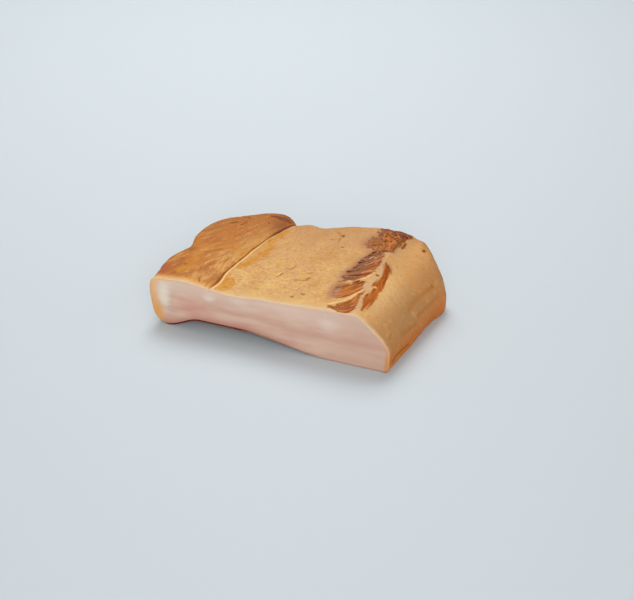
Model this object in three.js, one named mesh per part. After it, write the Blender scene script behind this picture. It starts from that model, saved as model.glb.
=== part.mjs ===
// Smoked bacon slab: a thick block of smoked pork back fat, cut fresh along its long front side.
// Millimetres, +Z up. X runs along the cut face, Y from the cut face to the back.
// The origin is the middle of the footprint, on the surface that the slab lies on.
//
// The slab is one solid. A box with a fine grid is rounded off at its smoked edges, then each
// grid point is carried onto the real block: ends, back, sloping top, arched underside, relief.

import * as THREE from "three";
import { mergeVertices } from "three/addons/utils/BufferGeometryUtils.js";

// Driving dimensions of the block
const CUT_LEFT = -107; // x of the left end's foot
const CUT_RIGHT = 95.5; // x of the right end at the cut face, at its widest
const BACK_RIGHT = 102.8; // x of the right end at the back, at its widest
const PLAIN_DEPTH = 122; // depth of the plain box before its back is shaped
const PLAIN_HEIGHT = 48; // height of the plain box before the real top is laid on it
const BACK_DEPTH = 124; // from the cut face to the foot of the back, right of the lobe

// Radii of the smoked edges; the cut face keeps its knife-sharp edges
const LOBE_RADIUS = 40; // back left corner, seen from above
const BACK_CORNER_RADIUS = 19; // back right corner, seen from above
const TOP_BACK_RADIUS = 10;
const TOP_LEFT_RADIUS = 5;
const TOP_RIGHT_RADIUS = 2.5;
const BOTTOM_BACK_RADIUS = 6;
const BOTTOM_LEFT_RADIUS = 15;
const BOTTOM_RIGHT_RADIUS = 3;

// Top surface: nearly level along the cut face, higher at the back and to the right
const TOP_FRONT = 40.3;
const TOP_FRONT_RISE = 4;
const TOP_BACK = 51;
const TOP_BACK_RISE = 11.6;

// Left end: a shallow waist between two swells
const LEFT_OVERHANG = 3;
const LEFT_SWELL = 3.5;
const LEFT_WAIST = 6;

// Right end: upright at its foot, then leaning in to the edge of the top
const END_EDGE = 66; // x of the top's right edge at the cut face
const END_EDGE_SWELL = 6;
const END_EDGE_BACK = 14.5; // the edge swings out this far again at the back corner

// The arch under the front, left of the middle
const ARCH_HEIGHT = 9.3;
const ARCH_FADE_DEPTH = 88; // it has run out this far behind the cut face

// The string mark that crosses the top, with the lobe on its left
const CREASE_FRONT_X = -57;
const CREASE_BACK_X = -37;
const CREASE_BOW = 5.2; // to the left, halfway along
const CREASE_DEPTH = 2.4;
const CREASE_HALF_WIDTH = 2.2;
const RIDGE_HEIGHT = 0.9; // the lip that stands along its right side
const RIDGE_OFFSET = 3.6;
const LOBE_DROP = 1; // the lobe's top lies this much lower than the lip's foot
const LOBE_REACH = 12.5; // the lobe stands out this far at the back
const NOTCH_DEPTH = 7; // where the string pulled the back in

// Grid of the box; the crease lies on one of its lines
const COLUMNS = 50;
const ROWS = 28;
const LAYERS = 11;
const CREASE_COLUMN = 16;
const CREASE_CROWDING = 1.3; // above 1, columns crowd towards the crease

const HALF = (BACK_RIGHT - CUT_LEFT) / 2;
const PLAIN_CREASE = CREASE_FRONT_X - CUT_LEFT - HALF;

const mix = (a, b, share) => a + (b - a) * share;
const clamp01 = (value) => Math.min(1, Math.max(0, value));
const hump = (distance, width) => Math.exp(-((distance / width) ** 2));

function ease(from, to, value) {
  const share = clamp01((value - from) / (to - from));
  return share * share * (3 - 2 * share);
}

// A point in a square corner zone, measured from the zone's inner corner, goes onto the
// quarter disc that rounds the corner off.
function roundOff(a, b) {
  if (a <= 0 || b <= 0) return [a, b];
  const pull = Math.max(a, b) / Math.hypot(a, b);
  return [a * pull, b * pull];
}

function edgeRadius(side, upper, sideShare) {
  const sideRadius = upper
    ? side < 0
      ? TOP_LEFT_RADIUS
      : TOP_RIGHT_RADIUS
    : side < 0
      ? BOTTOM_LEFT_RADIUS
      : BOTTOM_RIGHT_RADIUS;
  const backRadius = upper ? TOP_BACK_RADIUS : BOTTOM_BACK_RADIUS;
  return mix(backRadius, sideRadius, sideShare);
}

// The plain box with rounded edges: x from -HALF to HALF, y from 0 at the cut face to
// PLAIN_DEPTH, z from 0 to PLAIN_HEIGHT.
function roundedBox(x, y, z) {
  const side = x < 0 ? -1 : 1;
  const radius = side < 0 ? LOBE_RADIUS : BACK_CORNER_RADIUS;

  // Seen from above, the two back corners
  const coreX = HALF - radius;
  const coreY = PLAIN_DEPTH - radius;
  const [outX, outY] = roundOff(side * x - coreX, y - coreY);
  const planX = side * (coreX + outX);
  const planY = coreY + outY;

  // How far inside the outline the point lies, and which way is out
  let inset = PLAIN_DEPTH - planY;
  let normal = [0, 1];
  if (outX > 0 && outY > 0) {
    const reach = Math.hypot(outX, outY);
    inset = radius - reach;
    normal = [(side * outX) / reach, outY / reach];
  } else if (HALF - side * planX < inset) {
    inset = HALF - side * planX;
    normal = [side, 0];
  }

  // Seen from the side, the upper or the lower edge
  const upper = z > PLAIN_HEIGHT / 2;
  const edge = edgeRadius(side, upper, normal[0] ** 2);
  const fromMiddle = upper ? z : PLAIN_HEIGHT - z;
  const before = [edge - inset, fromMiddle - (PLAIN_HEIGHT - edge)];
  const after = roundOff(...before);
  const moveOut = after[0] - before[0];
  const moveUp = after[1] - before[1];
  return [
    planX + normal[0] * moveOut,
    planY + normal[1] * moveOut,
    upper ? z + moveUp : z - moveUp,
  ];
}

// x of the left end. share is the height, from 0 at the bottom to 1 at the top.
function leftEnd(y, share) {
  const overhang =
    LEFT_OVERHANG * (ease(0.1, 0.75, share) - 0.5 * ease(0.75, 1, share));
  const swell = LEFT_SWELL * hump(y - 28, 16);
  const waist = LEFT_WAIST * hump(y - 53, 13) * ease(0.2, 0.8, share);
  return CUT_LEFT - overhang - swell + waist;
}

// x of the right end. deep runs from 0 at the cut face to 1 at the back.
function rightEnd(deep, share) {
  const widest = mix(CUT_RIGHT, BACK_RIGHT, ease(0, 1, deep));
  const topEdge =
    END_EDGE +
    END_EDGE_SWELL * hump(deep - 0.27, 0.22) -
    3 * hump(deep - 0.72, 0.14) +
    END_EDGE_BACK * ease(0.78, 1, deep);
  const leanStart = mix(0.35, 0.15, deep);
  const lift = clamp01((share - leanStart) / (1 - leanStart));
  const lean = lift ** mix(1.6, 1.35, deep);
  const footAlong = ease(0.3, 0.6, deep) * (1 - ease(0.7, 0.9, deep));
  const foot = 2.5 * (1 - ease(0, 0.25, share)) * footAlong;
  const swell = 1.5 * hump(deep - 0.35, 0.3) * hump(share - 0.5, 0.25);
  return mix(widest, topEdge, lean) - foot + swell;
}

// y of the back
function backFace(x, share) {
  const lobe = LOBE_REACH * hump(x + 56, 20) + 5 * hump(x + 90, 20);
  const notch = NOTCH_DEPTH * hump(x + 34, 8) * ease(0.35, 1, share);
  const swell = 4 * Math.sin(Math.PI * share);
  return BACK_DEPTH + lobe - notch + swell;
}

// x of the crease at a depth y behind the cut face
function creaseAt(y) {
  const deep = clamp01(y / PLAIN_DEPTH);
  return (
    mix(CREASE_FRONT_X, CREASE_BACK_X, deep) -
    CREASE_BOW * Math.sin(Math.PI * deep)
  );
}

function topHeight(x, y) {
  const front =
    TOP_FRONT +
    TOP_FRONT_RISE * ease(-20, 70, x) +
    1.9 * hump(x + 80, 14) -
    2.1 * hump(x + 38, 16);
  const back =
    TOP_BACK +
    TOP_BACK_RISE * ease(-20, 50, x) +
    1.8 * hump(x + 25, 12) +
    0.7 * hump(x + 2, 9) +
    0.6 * hump(x - 16, 7) +
    0.8 * hump(x - 36, 14) -
    3.6 * hump(x - 73, 6); // a dip beside the back right corner
  return mix(front, back, y / PLAIN_DEPTH);
}

// Relief on the top: the string mark with its lip, the lower lobe, and shallow dents
function topRelief(x, y) {
  const across = x - creaseAt(y);
  const strength = mix(0.45, 1, ease(0, 30, y));
  const groove =
    CREASE_DEPTH * strength * hump(across + 0.4, CREASE_HALF_WIDTH);
  const lip = RIDGE_HEIGHT * strength * hump(across - RIDGE_OFFSET, 2.6);
  const lobe = LOBE_DROP * ease(12, 120, y) * (1 - ease(-4, 1, across));
  const dents =
    0.7 * Math.sin(x * 0.075 + 0.6) * Math.sin(y * 0.062 + 1.1) +
    0.4 * Math.sin(x * 0.16 - y * 0.11);
  return lip - groove - lobe + dents * ease(0, 18, y);
}

function undersideHeight(x, y) {
  const arch = ease(-96, -66, x) * (1 - ease(-28, 48, x));
  return ARCH_HEIGHT * arch * (1 - ease(0, ARCH_FADE_DEPTH, y));
}

// Grid columns crowd towards the crease. across runs from -1 at the left end to 1 at the right.
function columnX(across) {
  const creaseAcross = (2 * CREASE_COLUMN) / COLUMNS - 1;
  const end = across < creaseAcross ? -1 : 1;
  const share = (across - creaseAcross) / (end - creaseAcross);
  return mix(PLAIN_CREASE, end * HALF, share ** CREASE_CROWDING);
}

// One point of the box's grid, carried onto the slab
function slabPoint(across, deep, high) {
  const [boxX, boxY, boxZ] = roundedBox(
    columnX(across),
    deep * PLAIN_DEPTH,
    high * PLAIN_HEIGHT,
  );
  const boxDeep = boxY / PLAIN_DEPTH;
  const share = boxZ / PLAIN_HEIGHT;
  const crease = creaseAt(boxY);
  const x =
    boxX < PLAIN_CREASE
      ? mix(leftEnd(boxY, share), crease, (boxX + HALF) / (PLAIN_CREASE + HALF))
      : mix(
          crease,
          rightEnd(boxDeep, share),
          (boxX - PLAIN_CREASE) / (HALF - PLAIN_CREASE),
        );
  const y = boxDeep * backFace(x, share);
  const top = topHeight(x, y) + topRelief(x, y);
  return [x, y, mix(undersideHeight(x, y), top, share)];
}

function slabGeometry() {
  const box = new THREE.BoxGeometry(2, 1, 1, COLUMNS, ROWS, LAYERS);
  box.deleteAttribute("normal");
  box.deleteAttribute("uv");
  box.translate(0, 0.5, 0.5);
  const geometry = mergeVertices(box, 1e-5);
  const position = geometry.getAttribute("position");
  for (let i = 0; i < position.count; i++)
    position.setXYZ(
      i,
      ...slabPoint(position.getX(i), position.getY(i), position.getZ(i)),
    );
  geometry.computeBoundingBox();
  const middle = geometry.boundingBox.getCenter(new THREE.Vector3());
  geometry.translate(-middle.x, -middle.y, 0);
  geometry.computeVertexNormals();
  return geometry;
}

const smokedFat = new THREE.MeshStandardMaterial({
  name: "smoked fat",
  color: 0xd6aa72,
  roughness: 0.55,
  metalness: 0,
});

const slab = new THREE.Mesh(slabGeometry(), smokedFat);
slab.name = "slab";

const model = new THREE.Group();
model.name = "smoked_bacon_slab";
model.add(slab);

export default model;
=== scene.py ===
# %% [markdown]
# # A slab of smoked back fat, cut fresh
#
# The object is one block of food: pork back fat, smoked whole and then cut open along its long front
# side. The cut is pale pink and almost flat. Everything else is smoked skin: tan on top, browner on
# the lobe left of the string mark, with streaks of dark lean meat along the upper right edge.
#
# The construction model gives its place and size. This script gives it its fine surface and its
# colours. Nothing is moved: the new mesh stands exactly where the plain solid stands.

# %% Load the fixed frame
import math

import bmesh
import bpy
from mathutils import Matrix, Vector, noise


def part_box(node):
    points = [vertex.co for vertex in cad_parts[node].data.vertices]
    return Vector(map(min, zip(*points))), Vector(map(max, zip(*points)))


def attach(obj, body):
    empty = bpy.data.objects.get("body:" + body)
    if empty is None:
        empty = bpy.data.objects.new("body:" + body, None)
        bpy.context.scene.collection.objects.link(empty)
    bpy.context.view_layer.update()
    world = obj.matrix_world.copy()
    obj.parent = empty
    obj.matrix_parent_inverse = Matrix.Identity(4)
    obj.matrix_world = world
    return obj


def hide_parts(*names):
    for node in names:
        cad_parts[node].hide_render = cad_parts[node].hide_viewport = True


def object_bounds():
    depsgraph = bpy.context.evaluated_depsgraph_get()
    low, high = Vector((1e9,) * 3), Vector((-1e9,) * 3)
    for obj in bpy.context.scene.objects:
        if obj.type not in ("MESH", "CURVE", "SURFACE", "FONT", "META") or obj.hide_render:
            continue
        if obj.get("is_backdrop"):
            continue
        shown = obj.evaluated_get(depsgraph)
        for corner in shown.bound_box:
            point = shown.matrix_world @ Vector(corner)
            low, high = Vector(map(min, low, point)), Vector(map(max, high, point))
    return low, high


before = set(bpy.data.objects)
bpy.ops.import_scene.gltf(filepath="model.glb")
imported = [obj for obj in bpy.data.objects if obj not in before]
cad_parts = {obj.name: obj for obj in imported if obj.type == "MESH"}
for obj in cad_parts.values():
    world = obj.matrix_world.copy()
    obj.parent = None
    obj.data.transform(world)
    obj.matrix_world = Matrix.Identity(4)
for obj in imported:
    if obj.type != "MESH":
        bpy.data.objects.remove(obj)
cad_low, cad_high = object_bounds()
slab_low, slab_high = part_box("slab")
MM = 0.001
print("slab, mm:", [round(v / MM, 1) for v in slab_high - slab_low])

# %% [markdown]
# ## The camera
#
# The slab is seen from in front, a little from its right, and from 28 degrees above the table. A long
# lens at more than a metre keeps the perspective mild. The camera could be placed by hand, but an aim
# point, a distance and two angles say the same thing in four numbers that can be read and changed.

# %% Camera
LENS = 85
AIM = Vector((3.4, 16.5, 0)) * MM
AIM_DISTANCE = 1.2425
AZIMUTH = math.radians(24)
ELEVATION = math.radians(28)

backwards = Vector((
    math.sin(AZIMUTH) * math.cos(ELEVATION),
    -math.cos(AZIMUTH) * math.cos(ELEVATION),
    math.sin(ELEVATION),
))
camera = bpy.data.objects.new("camera", bpy.data.cameras.new("camera"))
camera.data.lens = LENS
camera.data.sensor_width = 36
camera.data.clip_end = 20
camera.location = AIM + backwards * AIM_DISTANCE
camera.rotation_euler = (-backwards).to_track_quat("-Z", "Y").to_euler()
bpy.context.collection.objects.link(camera)
bpy.context.scene.camera = camera
print("camera height, mm:", round(camera.location.z / MM))

# %% [markdown]
# ## Sizes of the block
#
# These are the real sizes that the plain solid was made from, in millimetres. x runs along the cut, y
# from the cut to the back, z up. Repeating them here keeps the fine mesh on the same form, so that
# the dressed slab and the plain solid agree to a fraction of a millimetre.

# %% Driving sizes
CUT_LEFT, CUT_RIGHT, BACK_RIGHT = -107, 95.5, 102.8
PLAIN_DEPTH, PLAIN_HEIGHT, BACK_DEPTH = 122, 48, 124
LOBE_RADIUS, BACK_CORNER_RADIUS = 40, 19
TOP_BACK_RADIUS, TOP_LEFT_RADIUS, TOP_RIGHT_RADIUS = 10, 5, 2.5
BOTTOM_BACK_RADIUS, BOTTOM_LEFT_RADIUS, BOTTOM_RIGHT_RADIUS = 6, 15, 3
TOP_FRONT, TOP_FRONT_RISE, TOP_BACK, TOP_BACK_RISE = 40.3, 4, 51, 11.6
LEFT_OVERHANG, LEFT_SWELL, LEFT_WAIST = 3, 3.5, 6
END_EDGE, END_EDGE_SWELL, END_EDGE_BACK = 66, 6, 14.5
ARCH_HEIGHT, ARCH_FADE_DEPTH = 9.3, 88
CREASE_FRONT_X, CREASE_BACK_X, CREASE_BOW = -57, -37, 5.2
LOBE_DROP, LOBE_REACH, NOTCH_DEPTH = 1, 12.5, 7
HALF = (BACK_RIGHT - CUT_LEFT) / 2
PLAIN_CREASE = CREASE_FRONT_X - CUT_LEFT - HALF


def mix(a, b, share):
    return a + (b - a) * share


def clamp01(value):
    return min(1.0, max(0.0, value))


def hump(distance, width):
    return math.exp(-((distance / width) ** 2))


def ease(start, end, value):
    share = clamp01((value - start) / (end - start))
    return share * share * (3 - 2 * share)


print("plain box, mm:", 2 * HALF, PLAIN_DEPTH, PLAIN_HEIGHT)

# %% [markdown]
# ## From a box to a rounded box
#
# Smoked fat has soft edges, but the knife left the cut sharp. A bevel modifier would give every edge
# the same kind of roundness. Here each corner zone of the box is pulled onto a quarter disc instead,
# with its own radius, which keeps the grid of the box intact for the steps that follow.

# %% Round the box
def round_off(a, b):
    """Pulls a point of a square corner zone onto the quarter disc that rounds the corner off."""
    if a <= 0 or b <= 0:
        return a, b
    pull = max(a, b) / math.hypot(a, b)
    return a * pull, b * pull


def edge_radius(side, upper, side_share):
    if upper:
        side_radius = TOP_LEFT_RADIUS if side < 0 else TOP_RIGHT_RADIUS
        return mix(TOP_BACK_RADIUS, side_radius, side_share)
    side_radius = BOTTOM_LEFT_RADIUS if side < 0 else BOTTOM_RIGHT_RADIUS
    return mix(BOTTOM_BACK_RADIUS, side_radius, side_share)


def rounded_box(x, y, z):
    side = -1 if x < 0 else 1
    radius = LOBE_RADIUS if side < 0 else BACK_CORNER_RADIUS
    core_x, core_y = HALF - radius, PLAIN_DEPTH - radius
    out_x, out_y = round_off(side * x - core_x, y - core_y)
    plan_x, plan_y = side * (core_x + out_x), core_y + out_y
    inset, normal = PLAIN_DEPTH - plan_y, (0, 1)
    if out_x > 0 and out_y > 0:
        reach = math.hypot(out_x, out_y)
        inset, normal = radius - reach, (side * out_x / reach, out_y / reach)
    elif HALF - side * plan_x < inset:
        inset, normal = HALF - side * plan_x, (side, 0)
    upper = z > PLAIN_HEIGHT / 2
    edge = edge_radius(side, upper, normal[0] ** 2)
    from_middle = z if upper else PLAIN_HEIGHT - z
    before = edge - inset, from_middle - (PLAIN_HEIGHT - edge)
    after = round_off(*before)
    move_out, move_up = after[0] - before[0], after[1] - before[1]
    plan_x += normal[0] * move_out
    plan_y += normal[1] * move_out
    return plan_x, plan_y, z + move_up if upper else z - move_up


print("a top left edge point goes to", [round(v, 1) for v in rounded_box(-HALF, 40, PLAIN_HEIGHT)])

# %% [markdown]
# ## The real faces
#
# Each face of the real block is a small function of place: where its left end, right end and back are,
# and how high its top and underside lie. The right end stands upright at its foot and then leans in.
# The underside arches up at the front left, where the slab curled as it dried.

# %% Where the faces are
def left_end(y, share):
    overhang = LEFT_OVERHANG * (ease(0.1, 0.75, share) - 0.5 * ease(0.75, 1, share))
    waist = LEFT_WAIST * hump(y - 53, 13) * ease(0.2, 0.8, share)
    return CUT_LEFT - overhang - LEFT_SWELL * hump(y - 28, 16) + waist


def end_edge(deep):
    """x of the edge between the top and the right end."""
    swell = END_EDGE_SWELL * hump(deep - 0.27, 0.22) - 3 * hump(deep - 0.72, 0.14)
    return END_EDGE + swell + END_EDGE_BACK * ease(0.78, 1, deep)


def right_end(deep, share):
    widest = mix(CUT_RIGHT, BACK_RIGHT, ease(0, 1, deep))
    lean_start = mix(0.35, 0.15, deep)
    lean = clamp01((share - lean_start) / (1 - lean_start)) ** mix(1.6, 1.35, deep)
    foot_along = ease(0.3, 0.6, deep) * (1 - ease(0.7, 0.9, deep))
    foot = 2.5 * (1 - ease(0, 0.25, share)) * foot_along
    swell = 1.5 * hump(deep - 0.35, 0.3) * hump(share - 0.5, 0.25)
    return mix(widest, end_edge(deep), lean) - foot + swell


def back_face(x, share):
    lobe = LOBE_REACH * hump(x + 56, 20) + 5 * hump(x + 90, 20)
    notch = NOTCH_DEPTH * hump(x + 34, 8) * ease(0.35, 1, share)
    return BACK_DEPTH + lobe - notch + 4 * math.sin(math.pi * share)


def crease_at(y):
    deep = clamp01(y / PLAIN_DEPTH)
    return mix(CREASE_FRONT_X, CREASE_BACK_X, deep) - CREASE_BOW * math.sin(math.pi * deep)


def top_height(x, y):
    front = TOP_FRONT + TOP_FRONT_RISE * ease(-20, 70, x)
    front += 1.9 * hump(x + 80, 14) - 2.1 * hump(x + 38, 16)
    back = TOP_BACK + TOP_BACK_RISE * ease(-20, 50, x) + 1.8 * hump(x + 25, 12)
    back += 0.7 * hump(x + 2, 9) + 0.6 * hump(x - 16, 7) + 0.8 * hump(x - 36, 14)
    back -= 3.6 * hump(x - 73, 6)
    return mix(front, back, y / PLAIN_DEPTH)


def underside_height(x, y):
    arch = ease(-96, -66, x) * (1 - ease(-28, 48, x))
    return ARCH_HEIGHT * arch * (1 - ease(0, ARCH_FADE_DEPTH, y))


print("height at the cut's left and right, mm:", [round(top_height(x, 0), 1) for x in (-100, 66)])

# %% [markdown]
# ## The string mark
#
# A string held the meat while it was smoked. It left a narrow groove with a rounded lip on its right,
# and the lobe on its left stayed a little lower. At this mesh's spacing of half a millimetre the
# groove can be a real groove, which catches light and shadow better than any painted line; the
# material adds painted shade in the groove and a painted highlight along the lip as well. At the
# back the groove turns to the right round the lobe's tip and runs down the notch in the back.

# %% Relief of the top
GROOVE_DEPTH, GROOVE_HALF_WIDTH = 1.9, 1.3
LIP_HEIGHT, LIP_OFFSET, LIP_HALF_WIDTH = 1.2, 2.5, 1.5
TIP_TURN, TIP_START, TIP_END = 3, 109, 120 # mm to the right, and the depths where it turns


def string_at(y):
    bend = 1.5 * hump(y - 14, 9) - 0.6 * hump(y - 97, 7)
    return crease_at(y) + bend + TIP_TURN * ease(TIP_START, TIP_END, y)


def across_string(x, y):
    """mm to the right of the string mark, which wanders a little."""
    return x - string_at(y) + 0.15 * math.sin(y * 0.31 + 0.5)


def top_relief(x, y):
    across = across_string(x, y)
    strength = mix(0.45, 1, ease(0, 30, y))
    widening = 1 + 0.6 * ease(85, 110, y)
    groove = GROOVE_DEPTH * strength * hump(across + 0.3, GROOVE_HALF_WIDTH * widening)
    shoulder = 0.6 * strength * hump(across + 2.2, 2.4)
    lip = LIP_HEIGHT * strength * hump(across - LIP_OFFSET, LIP_HALF_WIDTH) * (1 - ease(80, 100, y))
    lobe = LOBE_DROP * ease(12, 120, y) * (1 - ease(-4, 1, across))
    dents = 0.7 * math.sin(x * 0.075 + 0.6) * math.sin(y * 0.062 + 1.1)
    dents += 0.4 * math.sin(x * 0.16 - y * 0.11)
    return lip - groove - shoulder - lobe + dents * ease(0, 18, y)


print("the groove is", GROOVE_DEPTH, "mm deep and about", 2 * GROOVE_HALF_WIDTH, "mm wide")

# %% [markdown]
# ## Streaks of lean meat
#
# Along the upper right edge the smoke laid bare some lean meat, in a few streaks with fat between
# them. Each streak is drawn as a closed outline on the top. The distance to its edge is stored on the
# mesh in millimetres, so that the material can fray the edge finely and the relief can sink the meat
# with soft banks. Its fibres run in wide arcs; the distance from the arcs' centre numbers them.

# %% Outlines of the lean: (x, y) in mm on the top, the arcs' centre, how far it hangs over the edge
CRUST = (
    (43, 112), (42, 128), (52, 132), (66, 130), (68.5, 118), (66.2, 107.8), (65.3, 103), (63.7, 98),
    (63.7, 93), (63.2, 86.8), (58.8, 86.3), (54.5, 89.4), (51.2, 91), (50.8, 88.7), (45.7, 88.3),
    (41.6, 89.4), (38.3, 92.9), (39.8, 97.7), (41.9, 101.3), (42.6, 106),
)
MIDDLE_STREAK = (
    (48, 76), (48.8, 82.7), (52, 86.4), (56.7, 87.6), (57.6, 81.5), (58, 76.5), (60, 69.5),
    (60.2, 62.6), (59.8, 56.9), (57, 51.8), (53.9, 46.8), (51.9, 43.7), (50, 40.9), (46.4, 40.6),
    (42.3, 40.9), (39.7, 43), (40, 50.2), (42.4, 54.7), (43.1, 60.9), (44.7, 67.4), (46.1, 72.4),
)
FRONT_STREAK = (
    (50, 39.4), (53.8, 42.2), (57.5, 40.4), (58.9, 35.4), (58.8, 31.3), (56.8, 28), (53.9, 23.4),
    (50.4, 19.8), (45.6, 17.4), (42.1, 17.9), (39.6, 24.8), (39.4, 29.9), (41, 33.4), (46.1, 35.6),
)
CORNER_STREAK = (
    (61.6, 27), (62.4, 18.4), (62.6, 11.9), (63.1, 5.3), (61.5, -1), (53.5, -1), (50.7, 2.6),
    (45.2, 4.2), (44, 5.5), (48.1, 7.6), (52.2, 11.7), (54.6, 15.8), (56.5, 21), (58.6, 25.6),
)
END_STREAK = (
    (64.1, 71.6), (67.6, 70.2), (69.8, 67), (71.2, 60.6), (72.4, 52.2), (72.8, 44), (73.4, 37.6),
    (73.5, 29.9), (72.4, 20.4), (70.9, 12.7), (69.1, 8.4), (68, 14.8), (66.2, 21), (66.4, 26.5),
    (68, 31.1), (68.2, 36.8), (65.3, 39.9), (66.1, 46.1), (67.2, 50.9), (67.4, 56.9), (66, 62.8),
    (63.7, 68.3),
)
LEAN = (
    (CRUST, (0, 90), 6),
    (MIDDLE_STREAK, (22, 96), 3),
    (FRONT_STREAK, (20, 58), 3),
    (CORNER_STREAK, (48, 18), 3),
    (END_STREAK, (-29, 35), 9),
)
FAR = -30.0


def inside_outline(outline, x, y):
    """mm inside a closed outline; negative outside it."""
    nearest, inside = 1e9, False
    ax, ay = outline[-1]
    for bx, by in outline:
        run_x, run_y = bx - ax, by - ay
        share = clamp01(((x - ax) * run_x + (y - ay) * run_y) / (run_x ** 2 + run_y ** 2))
        nearest = min(nearest, math.hypot(x - ax - share * run_x, y - ay - share * run_y))
        if (ay > y) != (by > y) and x < ax + run_x * (y - ay) / run_y:
            inside = not inside
        ax, ay = bx, by
    return nearest if inside else -nearest


def lean_at(x, y, drop):
    """mm inside the nearest streak of lean, and the fibre that runs there."""
    best, fibre = FAR, 0.0
    if x < 25 or drop > 12:
        return best, fibre
    ragged = (1.7 * math.sin(x * 0.75) + 1.1 * math.sin(x * 1.9 + 1)) * ease(85, 110, y)
    for outline, centre, overhang in LEAN:
        inside = inside_outline(outline, x, y) - max(0.0, drop - overhang - ragged)
        if inside > best:
            best, fibre = inside, math.hypot(x - centre[0], y - centre[1])
    return best, fibre


def cool_side(x, y):
    """1 where the lean is purple or grey brown, on its left; 0 where it is orange brown."""
    if y > 88:
        return ease(51, 44, x)
    border = 44 if y < 37 else 50 + 0.19 * (y - 41)
    return ease(2, -2.5, x - border)


def bruise_at(x, y, lean):
    """The fat left of the lean is tinted grey purple over a few millimetres."""
    border = 47 if y < 37 or y > 88 else 47 + 0.15 * (y - 41)
    return ease(-9, 0, lean) * ease(1, -5, x - border) * ease(11, 19, y) * ease(112, 101, y)


print("streaks of lean:", len(LEAN))
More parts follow.
